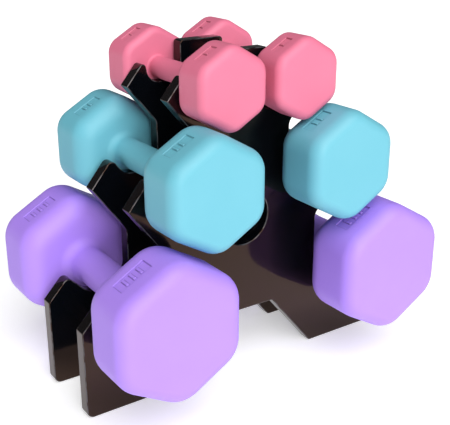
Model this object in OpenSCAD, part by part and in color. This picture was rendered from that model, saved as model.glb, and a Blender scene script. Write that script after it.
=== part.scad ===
// Three-tier dumbbell rack with its three pairs of vinyl-coated dumbbells.
// Two cradle plates stand face to face, held apart by spacers. Front is -Y, the floor is Z = 0,
// and the origin is on the floor, midway between the plates and on the centre line.

/* [Plates] */
// Overall width across the feet
rack_w = 245; // [230:1:294]
// Thickness of each plate
plate_t = 9; // [6:0.5:12]
// Distance from one plate's front face to the other's
plate_pitch = 51; // [40:0.5:64]
// Height of the column above the top cradle's floor
column_rise = 25.4; // [16:0.2:36]
// Radius of the round hole in each plate
hole_r = 19.3; // [12:0.1:22]
// Height of the round hole's centre
hole_z = 112.5; // [106:0.5:118]
// Bevel around both rims of the round hole
hole_bevel = 0.9; // [0.2:0.1:2]

/* [Arch between the feet] */
// Height of the arch
arch_h = 43.8; // [30:0.2:48]
// Half the arch's width at its top
arch_top_half = 25.1; // [15:0.1:32]
// Half the arch's width on the floor
arch_floor_half = 61; // [50:0.5:68]

/* [Cradles] */
// Height of the lowest cradle's floor
heavy_floor_z = 62.4; // [56:0.2:75]
// Play between a handle and the floor that it rests on
seat_gap = 0.1; // [0.05:0.05:0.5]
// Gap between a light head and the medium head below it
light_medium_gap = 2.1; // [2:0.1:12]
// Gap between a medium head and the heavy head below it
medium_heavy_gap = 6.5; // [4:0.25:16]

/* [Light dumbbells] */
// Distance from the centre line to the handle's axis
light_x = 28.2; // [27:0.2:32]
// Diameter of the handle
light_handle_d = 14.6; // [12:0.2:18]
// Width of a head across its flats
light_across = 49; // [40:0.5:52]
// Length of a head
light_head_len = 28; // [20:0.5:36]
// Gap between a head and the plate beside it
light_side_gap = 1.8; // [1.5:0.1:8]
// Radius of a head's outer end edges
light_end_r = 6; // [4:0.5:9]
// Radius of a head's inner end edges, around the handle
light_inner_r = 5; // [4:0.5:10]
// Radius of a head's long edges
light_long_r = 11.5; // [4:0.5:14]
// Fillet between the handle and a head
light_flare = 1.7; // [0.5:0.1:6]

/* [Medium dumbbells] */
// Distance from the centre line to the handle's axis
medium_x = 51.8; // [48:0.2:56]
// Diameter of the handle
medium_handle_d = 20; // [16:0.2:24]
// Width of a head across its flats
medium_across = 68; // [56:0.5:82]
// Length of a head
medium_head_len = 42.5; // [34:0.5:54]
// Gap between a head and the plate beside it
medium_side_gap = 8.5; // [3:0.5:20]
// Radius of a head's outer end edges
medium_end_r = 8; // [4:0.5:12]
// Radius of a head's inner end edges, around the handle
medium_inner_r = 13.5; // [4:0.5:15]
// Radius of a head's long edges
medium_long_r = 16; // [5:0.5:20]
// Fillet between the handle and a head
medium_flare = 5; // [1:0.5:8]

/* [Heavy dumbbells] */
// Distance from the centre line to the handle's axis
heavy_x = 84.8; // [80:0.2:92]
// Diameter of the handle
heavy_handle_d = 24.4; // [20:0.2:29.4]
// Width of a head across its flats
heavy_across = 84.5; // [70:0.5:100]
// Length of a head
heavy_head_len = 47.5; // [40:0.5:62]
// Gap between a head and the plate beside it
heavy_side_gap = 13.5; // [4:0.5:24]
// Radius of a head's outer end edges
heavy_end_r = 9.5; // [4:0.5:14]
// Radius of a head's inner end edges, around the handle
heavy_inner_r = 14.5; // [4:0.5:18]
// Radius of a head's long edges
heavy_long_r = 20; // [6:0.5:24]
// Fillet between the handle and a head
heavy_flare = 7; // [1:0.5:10]

/* [Coat] */
// Thickness of the vinyl over the iron heads
head_skin = 1.8; // [1:0.1:3]
// Thickness of the vinyl over the iron handle
handle_skin = 1.5; // [0.8:0.1:2.5]
// Depth of the size mark's panel
mark_depth = 0.8; // [0.2:0.05:0.9]

/* [Spacers and screws] */
// Diameter of the spacers
spacer_d = 12; // [10:0.5:16]
// Diameter of the screws
screw_d = 5; // [4:0.5:6]
// Length of the screws
screw_len = 18; // [16:1:22]
// Diameter of the countersunk heads
screw_head_d = 9.6; // [8:0.2:12]
// Width across the flats of the screws' hexagon sockets
socket_across = 3; // [2:0.5:4]
// Radial gap around a screw in its holes
screw_gap = 0.05; // [0.02:0.01:0.2]
// Height of the top spacer
top_spacer_z = 198; // [194:0.5:204]
// Height of the middle spacer
mid_spacer_z = 147; // [142:0.5:152]
// Distance from the centre line to each foot spacer
foot_spacer_x = 90; // [84:0.5:98]
// Height of the foot spacers
foot_spacer_z = 38; // [30:0.5:44]

/* [Hidden] */
$fn = 96;

// Outside depth of the two plates together, and the clear gap between them
stack_depth = plate_pitch + plate_t;
plate_gap = plate_pitch - plate_t;

// A dumbbell is [axis x, handle diameter, across flats, head length, side gap, flare, edge radii],
// and its edge radii are [outer end, inner end, long]
light = [
    light_x, light_handle_d, light_across, light_head_len, light_side_gap, light_flare,
    [light_end_r, light_inner_r, light_long_r]
];
medium = [
    medium_x, medium_handle_d, medium_across, medium_head_len, medium_side_gap, medium_flare,
    [medium_end_r, medium_inner_r, medium_long_r]
];
heavy = [
    heavy_x, heavy_handle_d, heavy_across, heavy_head_len, heavy_side_gap, heavy_flare,
    [heavy_end_r, heavy_inner_r, heavy_long_r]
];
function axis_x(d) = d[0];
function handle_d(d) = d[1];
function across(d) = d[2];
function head_len(d) = d[3];
function side_gap(d) = d[4];
function flare_r(d) = min(d[5], side_gap(d) - 0.3);
function edge_radii(d) = d[6];

// The hexagons have flats at their left and right, so stacked heads meet on the slanted flats.
// The height step keeps the stated gap between the two flats that face each other.
flat_lean = 60;
function tier_step(low, high, gap) =
    let (spread = (across(low) + across(high)) / 2 + gap)
    (spread - (axis_x(low) - axis_x(high)) * cos(flat_lean)) / sin(flat_lean);
heavy_z = heavy_floor_z + heavy_handle_d / 2 + seat_gap;
medium_z = heavy_z + tier_step(heavy, medium, medium_heavy_gap);
light_z = medium_z + tier_step(medium, light, light_medium_gap);
function floor_z(d, z) = z - handle_d(d) / 2 - seat_gap;
rack_h = floor_z(light, light_z) + column_rise;

// A cradle is [wall gap, flank play, flank angle, hook rise, outer angle]: wall gap is from the
// handle to the wall on the centre line's side, flank play is from the handle to the hook's inner
// flank, and hook rise is above the floor. A roof is the slanted edge above a lower cradle.
light_cradle = [3.9, 6.7, 78, 15.3, 50];
medium_cradle = [5.3, 4.3, 52, 11.9, 50.6];
heavy_cradle = [10.1, 2.6, 45, 14.6, 47];
medium_roof_angle = 50.2;
heavy_roof_angle = 53.2;
light_hook_w = 13.8;
medium_hook_w = 15.6;
function wall_x(d, c) = axis_x(d) - handle_d(d) / 2 - c[0];
function flank_foot_x(d, c) =
    axis_x(d) + (handle_d(d) / 2 + c[1] - (handle_d(d) / 2 + seat_gap) * cos(c[2])) / sin(c[2]);
function hook_x(d, c) = flank_foot_x(d, c) + c[3] / tan(c[2]);
function hook_z(d, z, c) = floor_z(d, z) + c[3];
// Outermost corner of a hook of width w, as [x, z]
function tip(d, z, c, w) = [hook_x(d, c) + w, hook_z(d, z, c) - w * tan(c[4])];
// Where a roof that starts at the tip above meets the wall of the cradle below, as [x, z]
function roof_end(tip_above, x_wall, angle) =
    [x_wall, tip_above[1] - (tip_above[0] - x_wall) * tan(angle)];

light_tip = tip(light, light_z, light_cradle, light_hook_w);
medium_tip = tip(medium, medium_z, medium_cradle, medium_hook_w);
heavy_tip = tip(heavy, heavy_z, heavy_cradle, rack_w / 2 - hook_x(heavy, heavy_cradle));
medium_roof_end = roof_end(light_tip, wall_x(medium, medium_cradle), medium_roof_angle);
heavy_roof_end = roof_end(medium_tip, wall_x(heavy, heavy_cradle), heavy_roof_angle);

// Corners of the right half of a plate, from the arch outwards and up, each as [x, z, radius]
half_outline = [
    [arch_top_half, arch_h, 2],
    [arch_floor_half, 0, 3],
    [rack_w / 2, 0, 5],
    [heavy_tip[0], heavy_tip[1], 1.5],
    [hook_x(heavy, heavy_cradle), hook_z(heavy, heavy_z, heavy_cradle), 4],
    [flank_foot_x(heavy, heavy_cradle), heavy_floor_z, 12],
    [wall_x(heavy, heavy_cradle), heavy_floor_z, 14],
    [heavy_roof_end[0], heavy_roof_end[1], 8],
    [medium_tip[0], medium_tip[1], 0.8],
    [hook_x(medium, medium_cradle), hook_z(medium, medium_z, medium_cradle), 4],
    [flank_foot_x(medium, medium_cradle), floor_z(medium, medium_z), 9],
    [wall_x(medium, medium_cradle), floor_z(medium, medium_z), 11],
    [medium_roof_end[0], medium_roof_end[1], 8],
    [light_tip[0], light_tip[1], 0.8],
    [hook_x(light, light_cradle), hook_z(light, light_z, light_cradle), 2.5],
    [flank_foot_x(light, light_cradle), floor_z(light, light_z), 9],
    [wall_x(light, light_cradle), floor_z(light, light_z), 9],
    [wall_x(light, light_cradle), rack_h, 2.5]
];
half_count = len(half_outline);
outline = concat(
    half_outline,
    [for (i = [half_count - 1:-1:0]) [-half_outline[i][0], half_outline[i][1], half_outline[i][2]]]
);

// Degrees turned by each short side of a rounded corner
corner_step = 9;

// Points of one rounded corner of a closed outline
function corner(points, i) =
    let (
        count = len(points),
        here = [points[i][0], points[i][1]],
        before = points[(i + count - 1) % count],
        after = points[(i + 1) % count],
        in_v = here - [before[0], before[1]],
        out_v = [after[0], after[1]] - here,
        in_u = in_v / norm(in_v),
        out_u = out_v / norm(out_v),
        side = sign(in_u[0] * out_u[1] - in_u[1] * out_u[0]),
        turn = acos(in_u * out_u),
        r = points[i][2],
        start = here - in_u * r * tan(turn / 2),
        to_centre = side * [-in_u[1], in_u[0]],
        centre = start + to_centre * r,
        first = atan2(-to_centre[1], -to_centre[0]),
        steps = max(2, ceil(turn / corner_step)),
        swing = side * turn / steps
    )
    [for (k = [0:steps]) centre + r * [cos(first + k * swing), sin(first + k * swing)]];

// Closed outline with rounded corners, from corners given as [x, y, radius]
module soft_polygon(corners) {
    polygon([for (i = [0:len(corners) - 1]) each corner(corners, i)]);
}

// Where the spacers and their screws sit, as [x, z]
spacer_spots = [
    [0, top_spacer_z], [0, mid_spacer_z],
    [-foot_spacer_x, foot_spacer_z], [foot_spacer_x, foot_spacer_z]
];
sink_h = (screw_head_d - screw_d) / 2;
cut_extra = 1;

// Stands a shape made along Z on its side, so that it runs along +Y from the plane y0
module along_y(y0) {
    translate([0, y0, 0])
        rotate([-90, 0, 0])
            children();
}

// One screw hole through a plate, with its countersink at y0 and its shank towards +Y
module screw_hole() {
    cylinder(h = plate_t + cut_extra, d = screw_d + 2 * screw_gap);
    cylinder(h = sink_h, d1 = screw_head_d + 2 * screw_gap, d2 = screw_d + 2 * screw_gap);
    translate([0, 0, -cut_extra])
        cylinder(h = cut_extra, d = screw_head_d + 2 * screw_gap);
}

// A plate with its countersinks on the -Y face, which lies at y = 0
module cradle_plate() {
    difference() {
        rotate([90, 0, 0])
            translate([0, 0, -plate_t])
                linear_extrude(plate_t)
                    soft_polygon(outline);
        translate([0, 0, hole_z])
            along_y(-cut_extra)
                cylinder(h = plate_t + 2 * cut_extra, r = hole_r);
        translate([0, 0, hole_z])
            along_y(0)
                cylinder(h = hole_bevel, r1 = hole_r + hole_bevel, r2 = hole_r);
        translate([0, 0, hole_z])
            along_y(plate_t - hole_bevel)
                cylinder(h = hole_bevel, r1 = hole_r, r2 = hole_r + hole_bevel);
        for (spot = spacer_spots)
            translate([spot[0], 0, spot[1]])
                along_y(0)
                    screw_hole();
    }
}

module front_plate() {
    color([0.05, 0.05, 0.06])
        translate([0, -stack_depth / 2, 0])
            cradle_plate();
}

module rear_plate() {
    color([0.05, 0.05, 0.06])
        mirror([0, 1, 0])
            translate([0, -stack_depth / 2, 0])
                cradle_plate();
}

// A steel spacer with a tapped bore right through it, between the plates
module spacer(spot) {
    color([0.25, 0.25, 0.27])
        translate([spot[0], 0, spot[1]])
            along_y(-plate_gap / 2)
                difference() {
                    cylinder(h = plate_gap, d = spacer_d);
                    translate([0, 0, -cut_extra])
                        cylinder(h = plate_gap + 2 * cut_extra, d = screw_d + 2 * screw_gap);
                }
}

// A countersunk screw, its flat head at z = 0 and its shank towards +Z
module screw() {
    socket_depth = sink_h * 0.9;
    difference() {
        union() {
            cylinder(h = sink_h, d1 = screw_head_d, d2 = screw_d);
            cylinder(h = screw_len, d = screw_d);
        }
        translate([0, 0, -cut_extra])
            cylinder(h = socket_depth + cut_extra, d = socket_across / cos(30), $fn = 6);
    }
}

module screws_front() {
    color([0.15, 0.15, 0.16])
        for (spot = spacer_spots)
            translate([spot[0], 0, spot[1]])
                along_y(-stack_depth / 2)
                    screw();
}

module screws_rear() {
    color([0.15, 0.15, 0.16])
        mirror([0, 1, 0])
            for (spot = spacer_spots)
                translate([spot[0], 0, spot[1]])
                    along_y(-stack_depth / 2)
                        screw();
}

// A hexagonal head, long axis along Z and centred, with flats at its left and right and its outer
// end up. Three slabs give the flats and the rounded end edges, and a slightly wider hexagon rounds
// the long edges. The skin is how far the whole head is drawn in from the finished outside.
module head(d, skin) {
    clear = 0.3;
    w = across(d) - 2 * skin;
    point_r = (w / 2 + clear) / cos(30);
    r = edge_radii(d)[2] - skin;
    intersection() {
        linear_extrude(2 * head_len(d), center = true)
            soft_polygon([for (a = [30:60:330]) [point_r * cos(a), point_r * sin(a), r]]);
        soft_slab(d, skin, 0);
        soft_slab(d, skin, 60);
        soft_slab(d, skin, 120);
    }
}

// One pair of opposite flats with rounded end edges
module soft_slab(d, skin, a) {
    half_w = across(d) / 2 - skin;
    half_len = head_len(d) / 2 - skin;
    outer_r = edge_radii(d)[0] - skin;
    inner_r = edge_radii(d)[1] - skin;
    rotate([0, 0, a])
        rotate([90, 0, 0])
            linear_extrude(4 * half_w, center = true)
                soft_polygon([
                    [half_w, half_len, outer_r], [-half_w, half_len, outer_r],
                    [-half_w, -half_len, inner_r], [half_w, -half_len, inner_r]
                ]);
}

// Distance from the dumbbell's middle to the inner face of a head, and to the head's middle
function inner_face(d) = stack_depth / 2 + side_gap(d);
function head_middle(d) = inner_face(d) + head_len(d) / 2;

// Puts what is made at the origin, outer end up, at the middle of each head
module at_each_head(d) {
    for (turn = [0, 180])
        rotate([turn, 0, 0])
            translate([0, 0, head_middle(d)])
                children();
}

// Iron bar with a hexagonal head at each end, along Z, smaller than the finished outside by its skin
module iron(d) {
    at_each_head(d)
        head(d, head_skin);
    bar_len = 2 * (inner_face(d) + 2 * head_skin);
    cylinder(h = bar_len, d = handle_d(d) - 2 * handle_skin, center = true);
}

// Half of a round handle's outline, from its middle out to a head: a straight bar that flares with a
// fillet of radius f into the head's inner face at z = face
flare_steps = 6;
flare_turn = 90 / flare_steps;
function flare_points(r, f, face) =
    [for (k = [0:flare_steps]) [r + f * (1 - cos(k * flare_turn)), face - f * (1 - sin(k * flare_turn))]];

// The handle, flared into both heads and running a little way into them
module handle(d) {
    root = 0.6;
    f = flare_r(d);
    r = handle_d(d) / 2;
    upper = flare_points(r, f, inner_face(d));
    rotate_extrude()
        polygon(concat(
            [[0, inner_face(d) + root]],
            [[r + f, inner_face(d) + root]],
            [for (k = [flare_steps:-1:0]) upper[k]],
            [for (k = [0:flare_steps]) [upper[k][0], -upper[k][1]]],
            [[r + f, -inner_face(d) - root]],
            [[0, -inner_face(d) - root]]
        ));
}

// Outside of the finished dumbbell
module dumbbell_outside(d) {
    at_each_head(d)
        head(d, 0);
    handle(d);
}

// The size mark: a sunk panel on the upper left flat of each head, with one raised bar for the
// light size, two for the medium and three for the heavy. These sizes are shares of the head's
// width across its flats: the panel's width and length, and the bars' width, length and spacing.
mark_w = 0.275;
mark_l = 0.13;
bar_w = 0.022;
bar_l = 0.08;
bar_pitch = 0.065;
// Direction that the marked flat faces, from the right towards the top
mark_lean = 120;

module size_mark_panels(d) {
    w = across(d);
    for (s = [-1, 1])
        rotate([0, 0, -mark_lean])
            translate([w / 2 - mark_depth, -w * mark_w / 2, s * head_middle(d) - w * mark_l / 2])
                cube([2 * mark_depth, w * mark_w, w * mark_l]);
}

module size_mark_bars(d, bars) {
    w = across(d);
    root = 0.2;
    for (s = [-1, 1], i = [0:bars - 1])
        rotate([0, 0, -mark_lean])
            translate([
                w / 2 - mark_depth - root,
                w * (bar_pitch * (i - (bars - 1) / 2) - bar_w / 2),
                s * head_middle(d) - w * bar_l / 2
            ])
                cube([mark_depth + root, w * bar_w, w * bar_l]);
}

module coat(d, bars) {
    difference() {
        union() {
            difference() {
                dumbbell_outside(d);
                size_mark_panels(d);
            }
            size_mark_bars(d, bars);
        }
        iron(d);
    }
}

// Puts a dumbbell, made along Z, into its cradle; side is -1 for left and 1 for right
module in_cradle(d, z, side) {
    translate([side * axis_x(d), 0, z])
        rotate([-90, 0, 0])
            children();
}

module core_piece(d, z, side) {
    color([0.3, 0.3, 0.32])
        in_cradle(d, z, side)
            iron(d);
}

module coat_piece(d, z, side, bars, tint) {
    color(tint)
        in_cradle(d, z, side)
            coat(d, bars);
}

pink = [1, 0.57, 0.7];
blue = [0.54, 0.87, 0.96];
purple = [0.83, 0.67, 1];

front_plate();
rear_plate();
spacer(spacer_spots[0]);  // spacer_top
spacer(spacer_spots[1]);  // spacer_mid
spacer(spacer_spots[2]);  // spacer_foot_left
spacer(spacer_spots[3]);  // spacer_foot_right
screws_front();
screws_rear();
core_piece(light, light_z, -1);  // light_left_core
coat_piece(light, light_z, -1, 1, pink);  // light_left_coat
core_piece(light, light_z, 1);  // light_right_core
coat_piece(light, light_z, 1, 1, pink);  // light_right_coat
core_piece(medium, medium_z, -1);  // medium_left_core
coat_piece(medium, medium_z, -1, 2, blue);  // medium_left_coat
core_piece(medium, medium_z, 1);  // medium_right_core
coat_piece(medium, medium_z, 1, 2, blue);  // medium_right_coat
core_piece(heavy, heavy_z, -1);  // heavy_left_core
coat_piece(heavy, heavy_z, -1, 3, purple);  // heavy_left_coat
core_piece(heavy, heavy_z, 1);  // heavy_right_core
coat_piece(heavy, heavy_z, 1, 3, purple);  // heavy_right_coat
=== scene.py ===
import math

import bmesh
import bpy
import numpy as np
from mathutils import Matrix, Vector


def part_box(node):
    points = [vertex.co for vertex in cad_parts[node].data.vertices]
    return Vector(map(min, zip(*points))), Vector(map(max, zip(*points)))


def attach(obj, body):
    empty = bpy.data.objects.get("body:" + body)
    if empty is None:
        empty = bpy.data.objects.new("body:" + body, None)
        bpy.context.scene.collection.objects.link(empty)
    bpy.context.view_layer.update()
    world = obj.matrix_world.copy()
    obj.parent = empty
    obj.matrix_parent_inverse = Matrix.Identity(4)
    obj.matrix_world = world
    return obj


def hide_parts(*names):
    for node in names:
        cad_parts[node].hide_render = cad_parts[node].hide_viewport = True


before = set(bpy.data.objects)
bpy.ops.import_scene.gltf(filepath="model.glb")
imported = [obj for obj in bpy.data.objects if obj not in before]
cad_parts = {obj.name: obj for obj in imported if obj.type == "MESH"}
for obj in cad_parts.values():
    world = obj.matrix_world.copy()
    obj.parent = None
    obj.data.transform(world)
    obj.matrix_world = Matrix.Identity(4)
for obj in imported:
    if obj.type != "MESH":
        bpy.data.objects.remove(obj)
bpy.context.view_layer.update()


# --- Camera ---------------------------------------------------------------------------------
# The rack is seen from its front left and from above, from a little over half a metre away.
# A long lens keeps the near dumbbells from looking much larger than the far ones.
bpy.context.scene.view_settings.view_transform = "Standard"
EYE = Vector((-0.3080, -0.4564, 0.3139))
TURN_RIGHT = math.radians(34.41)
TILT_DOWN = math.radians(20.62)
LENS_MM = 67.0
SENSOR_MM = 36.0

camera_data = bpy.data.cameras.new("camera")
camera_data.lens = LENS_MM
camera_data.sensor_width = SENSOR_MM
camera_data.clip_start = 0.01
camera = bpy.data.objects.new("camera", camera_data)
camera.location = EYE
camera.rotation_euler = (math.pi / 2 - TILT_DOWN, 0, -TURN_RIGHT)
bpy.context.scene.collection.objects.link(camera)
bpy.context.scene.camera = camera


# --- Floor ----------------------------------------------------------------------------------
# A plain white sweep of studio board under the rack, wide enough to fill the view. It is matte
# with a faint tooth, lit a little from behind so that it stays white, and just under the feet.
class Value:
    """One output socket of a node. Arithmetic on it adds Math nodes, so a mask reads as a sum."""

    def __init__(self, paint, socket):
        self.paint = paint
        self.socket = socket

    def math(self, operation, *values):
        return self.paint.node("ShaderNodeMath", {"operation": operation}, dict(enumerate(values)))

    def __add__(self, other):
        return self.math("ADD", self, other)

    def __radd__(self, other):
        return self.math("ADD", other, self)

    def __sub__(self, other):
        return self.math("SUBTRACT", self, other)

    def __rsub__(self, other):
        return self.math("SUBTRACT", other, self)

    def __mul__(self, other):
        return self.math("MULTIPLY", self, other)

    def __rmul__(self, other):
        return self.math("MULTIPLY", other, self)

    def between(self, low, high):
        """0 where this is at low or under, 1 at high or over, and smooth in between."""
        span = {"interpolation_type": "SMOOTHSTEP"}
        return self.paint.node("ShaderNodeMapRange", span, {0: self, 1: low, 2: high, 3: 0.0, 4: 1.0})


class Paint:
    """A material, and the nodes that vary its finish from place to place."""

    def __init__(self, name, colour, roughness, **uniform):
        self.material = bpy.data.materials.new(name)
        self.material.use_nodes = True
        self.tree = self.material.node_tree
        self.shader = self.tree.nodes["Principled BSDF"]
        self.set("Base Color", (*colour, 1.0))
        self.set("Roughness", roughness)
        for socket, value in uniform.items():
            self.set(socket.replace("_", " ").title(), value)

    def put(self, socket, value):
        if isinstance(value, Value):
            self.tree.links.new(value.socket, socket)
        else:
            socket.default_value = value

    def set(self, name, value):
        self.put(self.shader.inputs[name], value)

    def node(self, kind, settings=None, values=None, output=0):
        made = self.tree.nodes.new(kind)
        for key, value in (settings or {}).items():
            setattr(made, key, value)
        for key, value in (values or {}).items():
            self.put(made.inputs[key], value)
        return Value(self, made.outputs[output])

    def place(self):
        return self.node("ShaderNodeTexCoord", output="Object")

    def noise(self, scale, detail=2.0, stretch=(1.0, 1.0, 1.0)):
        """Soft noise from 0 to 1, with scale lumps a metre, drawn out along an axis by a stretch under 1."""
        moved = self.node("ShaderNodeVectorMath", {"operation": "MULTIPLY"}, {0: self.place(), 1: stretch})
        return self.node("ShaderNodeTexNoise", values={"Vector": moved, "Scale": scale, "Detail": detail})

    def mix(self, share, first, second):
        """A colour that goes from first to second as share goes from 0 to 1."""
        colours = [c if isinstance(c, Value) else (*c, 1.0) for c in (first, second)]
        return self.node("ShaderNodeMix", {"data_type": "RGBA"}, {0: share, 6: colours[0], 7: colours[1]}, 2)

    def bump(self, height, depth):
        """Raises the surface by height, from 0 to 1, times depth in metres."""
        values = {"Strength": 1.0, "Distance": depth, "Height": height}
        self.set("Normal", self.node("ShaderNodeBump", values=values))


FLOOR_HALF = 6.0
FLOOR_DROP = 0.0002
BOARD_GLOW = 0.43
board = Paint("studio_board", (0.92, 0.92, 0.92), 0.8)
board.set("Emission Color", (1.0, 1.0, 1.0, 1.0))
board.set("Emission Strength", BOARD_GLOW)
board.bump(board.noise(400), 0.00005)

floor_mesh = bpy.data.meshes.new("floor")
quarters = ((-1, -1), (1, -1), (1, 1), (-1, 1))
corners = [(x * FLOOR_HALF, y * FLOOR_HALF, -FLOOR_DROP) for x, y in quarters]
floor_mesh.from_pydata(corners, [], [(0, 1, 2, 3)])
floor_mesh.materials.append(board.material)
floor = bpy.data.objects.new("floor", floor_mesh)
bpy.context.scene.collection.objects.link(floor)


# --- Studio light ---------------------------------------------------------------------------
# A broad key light stands nearly level in front, a little to the left, with a small bright core,
# and a softbox above the front fills the tops. Weak even light from all round reaches the back.
ROOM_LIGHT = 0.1
world = bpy.data.worlds.new("studio")
world.use_nodes = True
room = world.node_tree.nodes["Background"]
room.inputs["Color"].default_value = (1.0, 1.0, 1.0, 1.0)
room.inputs["Strength"].default_value = ROOM_LIGHT
bpy.context.scene.world = world


def soft_lamp(name, left, up, strength, spread):
    """A sun lamp that stands left of the front and up, in degrees, with the spread that softens it."""
    data = bpy.data.lights.new(name, "SUN")
    data.energy = strength
    data.angle = math.radians(spread)
    lamp = bpy.data.objects.new(name, data)
    lamp.rotation_euler = (math.radians(90 - up), 0, math.radians(-left))
    bpy.context.scene.collection.objects.link(lamp)


soft_lamp("key_lamp", 15, 5, 0.66, 50)
soft_lamp("key_core", 17, 12, 0.58, 16)
soft_lamp("top_front_lamp", 10, 50, 2.85, 60)


# --- Cradle plates --------------------------------------------------------------------------
# Two steel plates cut to one outline, with three steps of open hooks on each side, and finished
# in gloss black. Every edge is eased, the round hole is a hand hold, and the screws sit flush.
PLATE_EASE = 0.00075
EASE_STEPS = 4
SAME_PLACE = 1e-6
SHARP_TURN = math.radians(38)
HOLE_SIDES = 96
SCREW_SIDES = 32
SINK_R = 0.00485
SHANK_R = 0.00255
SINK_DEEP = 0.0023


def flat_loops(node, y):
    """The closed loops of points, as (x, z), round a plate's flat face at y, the longest one first."""
    made = bmesh.new()
    made.from_mesh(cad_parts[node].data)
    bmesh.ops.remove_doubles(made, verts=made.verts, dist=SAME_PLACE)
    flat = {f for f in made.faces if all(abs(v.co.y - y) < SAME_PLACE for v in f.verts)}
    beside = {}
    for edge in made.edges:
        if sum(f in flat for f in edge.link_faces) == 1:
            for v in edge.verts:
                beside.setdefault(v, []).append(edge.other_vert(v))
    loops = []
    while beside:
        here = next(iter(beside))
        loop = []
        while here in beside:
            loop.append((here.co.x, here.co.z))
            nexts = [v for v in beside.pop(here) if v in beside]
            here = nexts[0] if nexts else None
        loops.append([Vector(p) for p in loop])
    made.free()
    return sorted(loops, key=len, reverse=True)


def turned_left(points):
    """The loop, in the order that keeps its inside on the left."""
    area = sum(a.cross(b) for a, b in zip(points, points[1:] + points[:1]))
    return points if area > 0 else points[::-1]


def inset(points, distance):
    """The loop, with every side moved to its left by that distance."""
    moved = []
    for i, here in enumerate(points):
        into = (here - points[i - 1]).normalized()
        out = (points[(i + 1) % len(points)] - here).normalized()
        side = Vector((-into.y, into.x))
        middle = (side + Vector((-out.y, out.x))).normalized()
        moved.append(here + middle * (distance / middle.dot(side)))
    return moved


def circle(centre, radius, sides):
    turn = 2 * math.pi / sides
    return [centre + radius * Vector((math.cos(k * turn), math.sin(k * turn))) for k in range(sides)]


def eased_wall(points, outwards, thick, ease):
    """Rows of (loop, depth) for a wall through a plate whose two edges are rounded by ease."""
    quarter = [math.pi / 2 * k / EASE_STEPS for k in range(EASE_STEPS + 1)]
    near = [(inset(points, outwards * ease * (1 - math.sin(a))), ease * (1 - math.cos(a))) for a in quarter]
    return near + [(loop, thick - depth) for loop, depth in reversed(near)]


def sunk_wall(centre, thick):
    """Rows of (loop, depth) for a screw hole with a countersink at depth 0."""
    rows = ((SINK_R, 0.0), (SHANK_R, SINK_DEEP), (SHANK_R, thick))
    return [(circle(centre, r, SCREW_SIDES), depth) for r, depth in rows]


def plate_piece(name, node, face_y, into):
    """A plate whose outer face is at face_y. Its thickness runs along Y, the way that into says."""
    low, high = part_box(node)
    thick = high.y - low.y
    loops = [turned_left(loop) for loop in flat_loops(node, face_y)]
    outline, holes = loops[0], loops[1:]
    walls = [eased_wall(outline, 1, thick, PLATE_EASE)]
    for loop in holes:
        centre = sum(loop, Vector((0, 0))) / len(loop)
        radius = (loop[0] - centre).length
        if radius > 2 * SINK_R:
            walls.append(eased_wall(circle(centre, radius - PLATE_EASE, HOLE_SIDES), -1, thick, PLATE_EASE))
        else:
            walls.append(sunk_wall(centre, thick))
    made = bmesh.new()
    wear = made.verts.layers.float.new("edge")
    rims = ([], [])
    for rows in walls:
        rings = []
        eased = len(rows) > 2 * EASE_STEPS
        for k, (loop, depth) in enumerate(rows):
            ring = [made.verts.new((p.x, face_y + into * depth, p.y)) for p in loop]
            from_face = min(k, len(rows) - 1 - k)
            for v in ring:
                v[wear] = math.sin(math.pi * from_face / EASE_STEPS) if eased else 0.0
            rings.append(ring)
        for first, second in zip(rings, rings[1:]):
            for i, v in enumerate(first):
                j = (i + 1) % len(first)
                made.faces.new((v, first[j], second[j], second[i]))
        for rim, ring in zip(rims, (rings[0], rings[-1])):
            rim.extend(made.edges.get((a, b)) for a, b in zip(ring, ring[1:] + ring[:1]))
    for rim in rims:
        bmesh.ops.triangle_fill(made, use_beauty=True, edges=rim)
    bmesh.ops.recalc_face_normals(made, faces=made.faces)
    return finished(name, made, "rack", "plate", node)


def finished(name, made, body, slot, *nodes):
    """Turns a bmesh into a smooth-shaded piece that rides on a body and stands for CAD nodes."""
    mesh = bpy.data.meshes.new(name)
    made.to_mesh(mesh)
    made.free()
    mesh.shade_smooth()
    mesh.set_sharp_from_angle(angle=SHARP_TURN)
    piece = bpy.data.objects.new(name, mesh)
    bpy.context.scene.collection.objects.link(piece)
    shading = piece.modifiers.new("even_shading", "WEIGHTED_NORMAL")
    shading.keep_sharp = True
    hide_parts(*nodes)
    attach(piece, body)
    return piece


def gloss_black(name):
    """Gloss black lacquer over steel: faint orange peel, hairline scratches, dust, and edges that are
    rubbed towards bare steel in places."""
    paint = Paint(name, (0.002, 0.002, 0.002), 0.1, specular_tint=(1.0, 0.57, 0.40, 1.0))
    edge = paint.node("ShaderNodeAttribute", {"attribute_name": "edge"}, output="Fac")
    smear = paint.noise(24, 3)
    scratch = paint.noise(900, 1, stretch=(0.04, 1.0, 1.0)).between(0.66, 0.72)
    dust = paint.noise(2600, 1).between(0.7, 0.78)
    rubbed = edge * paint.noise(160, 3).between(0.35, 0.6)
    bare = rubbed * 0.35
    base = paint.mix(smear, (0.001, 0.0018, 0.003), (0.0025, 0.003, 0.0045))
    base = paint.mix(bare, base, (0.30, 0.31, 0.33))
    paint.set("Base Color", paint.mix(dust * 0.04, base, (0.3, 0.28, 0.26)))
    paint.set("Metallic", bare)
    paint.set("Roughness", 0.06 + smear * 0.06 + scratch * 0.06 + dust * 0.1 + rubbed * 0.12)
    paint.bump(paint.noise(330, 1) * 0.8 + scratch * -0.2, 0.00001)
    return paint.material


black = gloss_black("gloss_black_lacquer")
front_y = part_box("front_plate")[0].y
rear_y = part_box("rear_plate")[1].y
plate_piece("plate_front", "front_plate", front_y, 1).data.materials.append(black)
plate_piece("plate_rear", "rear_plate", rear_y, -1).data.materials.append(black)


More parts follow.
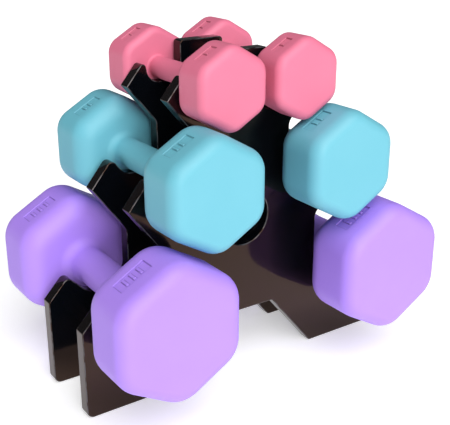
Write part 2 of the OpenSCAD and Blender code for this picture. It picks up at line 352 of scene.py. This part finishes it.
# --- Dumbbells ------------------------------------------------------------------------------
# Each is one iron casting, a round bar with a hexagonal head at each end, dipped in soft matte
# vinyl. A head's edges are deeply rounded, and its upper left flat carries a sunk size mark.
MARK_FLAT = 2
MARK_DEEP = 0.0008
MARK_SOFT = 0.00018
MARK_SHARES = {"panel_w": 0.275, "panel_l": 0.13, "bar_w": 0.022, "bar_l": 0.08, "bar_pitch": 0.065}
FLAT_COLUMNS = 5
CORNER_STEPS = 9
ROUND_STEPS = 9
FLARE_STEPS = 8
HANDLE_RINGS = 5
SIDE_RINGS = 5
NECK_SHARES = (0.3, 0.6, 0.85)
FACE_SHARES = (0.8, 0.55, 0.3, 0.1)


def smooth_box(x, half):
    """1 within half of 0 and 0 outside it, with a soft step as wide as the mark's walls."""
    t = np.clip((half - np.abs(x)) / (2 * MARK_SOFT) + 0.5, 0, 1)
    return t * t * (3 - 2 * t)


def step_places(centre, half, inwards):
    """Places across the two soft steps at centre - half and centre + half, and over the crease beside
    each that gets painted shade. The crease lies on the inside where inwards is 1 and on the outside where
    it is -1."""
    steps = (-1, -1 / 3, 1 / 3, 1, 2 * inwards, -2.5 * inwards, -4 * inwards)
    return [centre + side * (half + k * MARK_SOFT) for side in (-1, 1) for k in steps]


def beside_step(u, v, half_w, half_l, inwards):
    """1 at the foot of a rectangle's walls, and 0 a little way off, over their tops and beside them.
    This is where the size mark's creases get painted shade.
    """
    out = np.maximum(np.abs(u) - half_w, abs(v) - half_l)
    return np.clip(1 - np.abs(out + MARK_SOFT * inwards) / (3 * MARK_SOFT), 0, 1)


class Dumbbell:
    """The outside of a dumbbell, along Y, drawn as rings from one outer face to the other. A head's
    outer edge is drawn in by outer_round over a length of outer_reach, and its other edges are arcs."""

    def __init__(
        self, across, length, head, grip, flare, outer_round, outer_reach, inner_round, long_round, bars=0
    ):
        self.across, self.length, self.head, self.grip, self.flare = across, length, head, grip, flare
        self.outer_round, self.outer_reach = outer_round, outer_reach
        self.inner_round, self.long_round = inner_round, long_round
        self.bars = bars
        self.face = length / 2 - head
        self.middle = length / 2 - head / 2
        shares = MARK_SHARES
        self.spread = [(k - (bars - 1) / 2) * shares["bar_pitch"] * across for k in range(bars)]
        self.panel = (shares["panel_w"] * across / 2, shares["panel_l"] * across / 2)
        self.bar = (shares["bar_w"] * across / 2, shares["bar_l"] * across / 2)
        self.columns()

    def columns(self):
        """Each column is a point on the inner hexagon and the way that it is pushed out from there."""
        apothem = self.across / 2 - self.long_round
        half_side = apothem * math.tan(math.pi / 6)
        plain = list(np.linspace(-half_side, half_side, FLAT_COLUMNS))
        marked = sorted(
            plain
            + step_places(0, self.panel[0], 1)
            + [u for c in self.spread for u in step_places(c, self.bar[0], -1)]
        )
        base, push, along, bend = [], [], [], []
        for k in range(6):
            lean = k * math.pi / 3
            normal = np.array((math.cos(lean), math.sin(lean)))
            tangent = np.array((-normal[1], normal[0]))
            places = marked if self.bars and k == MARK_FLAT else plain
            for u in places:
                base.append(apothem * normal + u * tangent)
                push.append(normal)
                along.append(u if k == MARK_FLAT else np.inf)
                bend.append(0.0)
            for step in range(1, CORNER_STEPS):
                turn = lean + math.pi / 3 * step / CORNER_STEPS
                base.append(apothem * normal + half_side * tangent)
                push.append(np.array((math.cos(turn), math.sin(turn))))
                along.append(np.inf)
                bend.append(math.sin(math.pi * step / CORNER_STEPS))
        self.base, self.push = np.array(base), np.array(push)
        self.along, self.bend = np.array(along), np.array(bend)

    def outline(self, drop):
        """The rounded hexagon, with its sides drawn in by drop."""
        return self.base + self.push * (self.long_round - drop)

    def half_rings(self):
        """(points as (x, z), distance from the middle, edge wear, share of painted shade in creases), from
        the middle outwards.
        """
        ways = self.outline(0) / np.linalg.norm(self.outline(0), axis=1)[:, None]
        zeros = np.zeros(len(ways))
        quarter = np.linspace(0, math.pi / 2, ROUND_STEPS + 1)
        inner_rim, outer_rim = self.outline(self.inner_round), self.outline(self.outer_round)
        neck = self.grip / 2 + self.flare
        rings = []
        for y in np.linspace(0, self.face - self.flare, HANDLE_RINGS + 1)[:-1]:
            rings.append((ways * self.grip / 2, y, zeros, zeros))
        for a in np.linspace(0, math.pi / 2, FLARE_STEPS + 1):
            radius = self.grip / 2 + self.flare * (1 - math.cos(a))
            rings.append((ways * radius, self.face - self.flare * (1 - math.sin(a)), zeros, zeros))
        for share in NECK_SHARES:
            rings.append((ways * neck * (1 - share) + inner_rim * share, self.face, zeros, zeros))
        for a in quarter:
            worn = np.maximum(math.sin(2 * a), self.bend * math.sin(a))
            drop = self.inner_round * (1 - math.sin(a))
            reach = self.inner_round * (1 - math.cos(a))
            rings.append((self.outline(drop), self.face + reach, worn, zeros))
        side = (self.inner_round - self.head / 2, self.head / 2 - self.outer_reach)
        places = set(np.linspace(*side, SIDE_RINGS + 2)[1:-1])
        if self.bars:
            places |= set(step_places(0, self.panel[1], 1)) | set(step_places(0, self.bar[1], -1))
        for v in sorted(places):
            drop, crease = self.mark(v)
            rings.append((self.outline(drop), self.middle + v, self.bend, crease))
        for a in reversed(quarter):
            worn = np.maximum(math.sin(2 * a), self.bend * math.sin(a))
            drop = self.outer_round * (1 - math.sin(a))
            reach = self.outer_reach * (1 - math.cos(a))
            rings.append((self.outline(drop), self.length / 2 - reach, worn, zeros))
        for share in FACE_SHARES:
            rings.append((outer_rim * share, self.length / 2, zeros, zeros))
        return rings

    def mark(self, v):
        """How far each column lies under the flat, and its share of painted crease shade, at v from the
        head's middle.
        """
        if not self.bars:
            return 0, np.zeros(len(self.along))
        sunk = smooth_box(self.along, self.panel[0]) * smooth_box(v, self.panel[1])
        bars = sum(smooth_box(self.along - c, self.bar[0]) for c in self.spread)
        raised = bars * smooth_box(v, self.bar[1])
        # The size mark's creases get painted shade: the foot of the panel's walls and of each bar's.
        crease_shades = [beside_step(self.along - c, v, *self.bar, -1) for c in self.spread]
        crease_shades.append(beside_step(self.along, v, *self.panel, 1))
        return (MARK_DEEP * (sunk - raised))[:, None], np.max(crease_shades, axis=0)

    def skin(self, x, z):
        """Vertices, faces, edge wear and painted crease shade of the closed skin, with its axis at x and z.
        """
        half = self.half_rings()
        rings = [(p, -y, worn, crease) for p, y, worn, crease in reversed(half[1:])] + half
        count = len(self.base)
        verts = [(x + p[0], y, z + p[1]) for points, y, *_ in rings for p in points]
        worn = [w for ring in rings for w in ring[2]]
        crease = [w for ring in rings for w in ring[3]]
        faces = []
        for r in range(len(rings) - 1):
            for i in range(count):
                j = (i + 1) % count
                faces.append((r * count + i, (r + 1) * count + i, (r + 1) * count + j, r * count + j))
        for ring, y in ((0, -self.length / 2), (len(rings) - 1, self.length / 2)):
            verts.append((x, y, z))
            worn.append(0.0)
            crease.append(0.0)
            for i in range(count):
                pair = (ring * count + i, ring * count + (i + 1) % count)
                faces.append((*(pair if ring == 0 else pair[::-1]), len(verts) - 1))
        return verts, faces, worn, crease


def skin_piece(name, skins, body, slot, *nodes):
    """A piece from one or more closed skins; every skin after the first is a cavity inside it."""
    made = bmesh.new()
    edge_layer = made.verts.layers.float.new("edge")
    crease_shade_layer = made.verts.layers.float.new("crease")
    for order, (verts, faces, worn, crease) in enumerate(skins):
        points = [made.verts.new(v) for v in verts]
        for v, w, c in zip(points, worn, crease):
            v[edge_layer] = w
            v[crease_shade_layer] = c
        for face in faces:
            made.faces.new([points[i] for i in (face if order else face[::-1])])
    return finished(name, made, body, slot, *nodes)


# How dark the painted shade in the size mark's creases is, as a share of the deep colour.
CREASE_SHADE = 0.45


def vinyl(name, colour, deep):
    """Soft matte dipped vinyl: a fine skin texture, slow drift in its colour, edges rubbed smooth, and
    painted shade that darkens the creases of the size mark."""
    paint = Paint(name, colour, 0.5)
    edge = paint.node("ShaderNodeAttribute", {"attribute_name": "edge"}, output="Fac")
    crease = paint.node("ShaderNodeAttribute", {"attribute_name": "crease"}, output="Fac")
    drift = paint.noise(28, 3)
    grain = paint.noise(2200, 2)
    pores = paint.noise(700, 1).between(0.62, 0.74)
    tone = paint.mix(drift.between(0.3, 0.7) * 0.35, colour, deep)
    # Painted shade: the size mark's creases are darkened towards the deep colour.
    tone = paint.mix(crease * 0.7, tone, [c * CREASE_SHADE for c in deep])
    paint.set("Base Color", paint.mix(pores * 0.12, tone, deep))
    paint.set("Roughness", 0.5 + drift * 0.1 + grain * 0.06 - edge * 0.08)
    paint.bump(grain * 0.7 + pores * -0.4 + drift * 0.5, 0.00003)
    return paint.material


def cast_iron(name):
    """Sand-cast iron: a dark grey, pitted skin with a little rust in its hollows."""
    paint = Paint(name, (0.12, 0.12, 0.125), 0.65, metallic=0.9)
    pits = paint.noise(900, 4)
    rust = paint.noise(60, 4).between(0.55, 0.7)
    skin = paint.mix(pits, (0.07, 0.07, 0.075), (0.2, 0.2, 0.205))
    paint.set("Base Color", paint.mix(rust * 0.4, skin, (0.2, 0.08, 0.04)))
    paint.set("Roughness", 0.55 + pits * 0.25)
    paint.bump(pits, 0.0002)
    return paint.material


HEAD_SKIN = 0.0018
GRIP_SKIN = 0.0015
CORE_FLARE = 0.0005
CORE_EASE = 0.00003
TIERS = {
    "light": {
        "head": 0.028, "grip": 0.0146, "flare": 0.0015,
        "outer_round": 0.006, "outer_reach": 0.006, "inner_round": 0.005, "long_round": 0.0115,
    },
    "medium": {
        "head": 0.0425, "grip": 0.020, "flare": 0.0050,
        "outer_round": 0.008, "outer_reach": 0.010, "inner_round": 0.0135, "long_round": 0.016,
    },
    "heavy": {
        "head": 0.0475, "grip": 0.0244, "flare": 0.0070,
        "outer_round": 0.0095, "outer_reach": 0.011, "inner_round": 0.0145, "long_round": 0.020,
    },
}
TINTS = {
    "light": ((0.76, 0.185, 0.295), (0.73, 0.16, 0.265)),
    "medium": ((0.15, 0.48, 0.585), (0.13, 0.45, 0.555)),
    "heavy": ((0.43, 0.25, 0.88), (0.40, 0.225, 0.86)),
}
iron = cast_iron("cast_iron")


def cored(sizes, across, length, ease):
    """The iron casting inside the vinyl, drawn in by the vinyl's thickness and by ease all round."""
    depth = HEAD_SKIN + ease
    return Dumbbell(
        across - 2 * depth,
        length - 2 * depth,
        sizes["head"] - 2 * depth,
        sizes["grip"] - 2 * (GRIP_SKIN + ease),
        CORE_FLARE,
        sizes["outer_round"] - depth,
        sizes["outer_reach"] - depth,
        sizes["inner_round"] - depth,
        sizes["long_round"] - depth,
    )


for bars, (tier, sizes) in enumerate(TIERS.items(), start=1):
    coat = vinyl(f"{tier}_vinyl", *TINTS[tier])
    for side in ("left", "right"):
        body = f"{tier}_{side}"
        low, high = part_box(f"{body}_coat")
        middle = (low + high) / 2
        across, length = high.x - low.x, high.y - low.y
        outside = Dumbbell(across, length, bars=bars, **sizes).skin(middle.x, middle.z)
        cavity = cored(sizes, across, length, 0).skin(middle.x, middle.z)
        casting = cored(sizes, across, length, CORE_EASE).skin(middle.x, middle.z)
        dipped = skin_piece(f"{body}_dumbbell", [outside, cavity], body, f"{tier}_vinyl", f"{body}_coat")
        dipped.data.materials.append(coat)
        core = skin_piece(f"{body}_casting", [casting], body, "iron", f"{body}_core")
        core.data.materials.append(iron)


# --- Spacers --------------------------------------------------------------------------------
# Four turned steel tubes hold the plates apart, one near the top, one at the middle and one in
# each foot. They are bored right through for the screws and painted satin black.
TURNED_SIDES = 64
SPACER_CHAMFER = 0.0006


def turned(made, profile, x, z, closed=False):
    """Adds a shape turned about Y at x and z, from a profile of (radius, y) points."""
    rings = []
    for radius, y in profile:
        ring = circle(Vector((x, z)), radius, TURNED_SIDES)
        rings.append([made.verts.new((p.x, y, p.y)) for p in ring])
    pairs = list(zip(rings, rings[1:]))
    if closed:
        pairs.append((rings[-1], rings[0]))
    for first, second in pairs:
        for i, v in enumerate(first):
            j = (i + 1) % TURNED_SIDES
            made.faces.new((v, first[j], second[j], second[i]))


def satin_black(name):
    """Satin black enamel on turned steel, with faint turning marks and a few dry specks."""
    paint = Paint(name, (0.02, 0.02, 0.021), 0.38)
    drift = paint.noise(40, 3)
    rings = paint.noise(1400, 1, stretch=(0.05, 1.0, 0.05))
    paint.set("Base Color", paint.mix(drift, (0.014, 0.014, 0.015), (0.03, 0.029, 0.03)))
    paint.set("Roughness", 0.32 + drift * 0.1 + rings * 0.08)
    paint.bump(rings, 0.00002)
    return paint.material


enamel = satin_black("satin_black_enamel")
for node in ("spacer_top", "spacer_mid", "spacer_foot_left", "spacer_foot_right"):
    low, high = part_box(node)
    middle = (low + high) / 2
    outer = (high.x - low.x) / 2
    c = SPACER_CHAMFER
    tube = [
        (SHANK_R + c, low.y), (outer - c, low.y), (outer, low.y + c), (outer, high.y - c),
        (outer - c, high.y), (SHANK_R + c, high.y), (SHANK_R, high.y - c), (SHANK_R, low.y + c),
    ]
    made = bmesh.new()
    turned(made, tube, middle.x, middle.z, closed=True)
    bmesh.ops.recalc_face_normals(made, faces=made.faces)
    finished(f"{node}_tube", made, "rack", "spacer", node).data.materials.append(enamel)


# --- Screws ---------------------------------------------------------------------------------
# Eight flat-headed steel screws with hexagon sockets, blacked in oil. Each goes through a plate
# into the end of a spacer, with its head flush in the plate's countersink.
SCREW_R = 0.0025
HEAD_R = 0.0048
HEAD_DEEP = 0.0023
SCREW_LONG = 0.018
SOCKET_ACROSS = 0.003
SOCKET_DEEP = 0.00205
SOCKET_FLOOR_R = 0.0004
SOCKET_TAPER = 0.98
SOCKET_MOUTH = 1.07
DRILL_POINT = 0.0002
HEAD_EASE = 0.00015
TIP_EASE = 0.0005
BREAK = 0.0001


def blacked_steel(name):
    """Oil-blacked steel, with bright rubbed spots and a brushed grain."""
    paint = Paint(name, (0.05, 0.05, 0.052), 0.4, metallic=1.0)
    rub = paint.noise(500, 3).between(0.55, 0.75)
    brushed = paint.noise(2400, 1, stretch=(0.1, 1.0, 1.0))
    paint.set("Base Color", paint.mix(rub, (0.045, 0.045, 0.05), (0.22, 0.21, 0.2)))
    paint.set("Roughness", 0.32 + brushed * 0.12 - rub * 0.08)
    paint.bump(brushed, 0.00001)
    return paint.material


def screw(made, x, z, head_y, into):
    """Adds a screw whose flat head is at head_y. Its shank runs along Y, the way that into says."""
    turns = [2 * math.pi / TURNED_SIDES * k for k in range(TURNED_SIDES)]
    from_flat = [math.radians((math.degrees(t) + 30) % 60 - 30) for t in turns]
    ways = [Vector((math.cos(t), math.sin(t))) for t in turns]
    socket = [w * (SOCKET_ACROSS / 2 / math.cos(a)) for w, a in zip(ways, from_flat)]
    rows = [
        ([w * SOCKET_FLOOR_R for w in ways], SOCKET_DEEP + DRILL_POINT),
        ([p * SOCKET_TAPER for p in socket], SOCKET_DEEP),
        (socket, BREAK),
        ([p * SOCKET_MOUTH for p in socket], 0.0),
        ([w * (HEAD_R - HEAD_EASE) for w in ways], 0.0),
        ([w * HEAD_R for w in ways], BREAK),
        ([w * SCREW_R for w in ways], HEAD_DEEP),
        ([w * SCREW_R for w in ways], SCREW_LONG - TIP_EASE),
        ([w * (SCREW_R - TIP_EASE) for w in ways], SCREW_LONG),
    ]
    rings = [[made.verts.new((x + p.x, head_y + into * d, z + p.y)) for p in row] for row, d in rows]
    for first, second in zip(rings, rings[1:]):
        for i, v in enumerate(first):
            j = (i + 1) % TURNED_SIDES
            made.faces.new((v, first[j], second[j], second[i]))
    made.faces.new(rings[0])
    made.faces.new(rings[-1])


oiled = blacked_steel("blacked_steel")
spots = []
for node in ("spacer_top", "spacer_mid", "spacer_foot_left", "spacer_foot_right"):
    low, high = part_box(node)
    spots.append(((low.x + high.x) / 2, (low.z + high.z) / 2))
for name, node, head_y, into in (
    ("front_screws", "screws_front", front_y, 1),
    ("rear_screws", "screws_rear", rear_y, -1),
):
    made = bmesh.new()
    for x, z in spots:
        screw(made, x, z, head_y, into)
    bmesh.ops.recalc_face_normals(made, faces=made.faces)
    finished(name, made, "rack", "screw", node).data.materials.append(oiled)
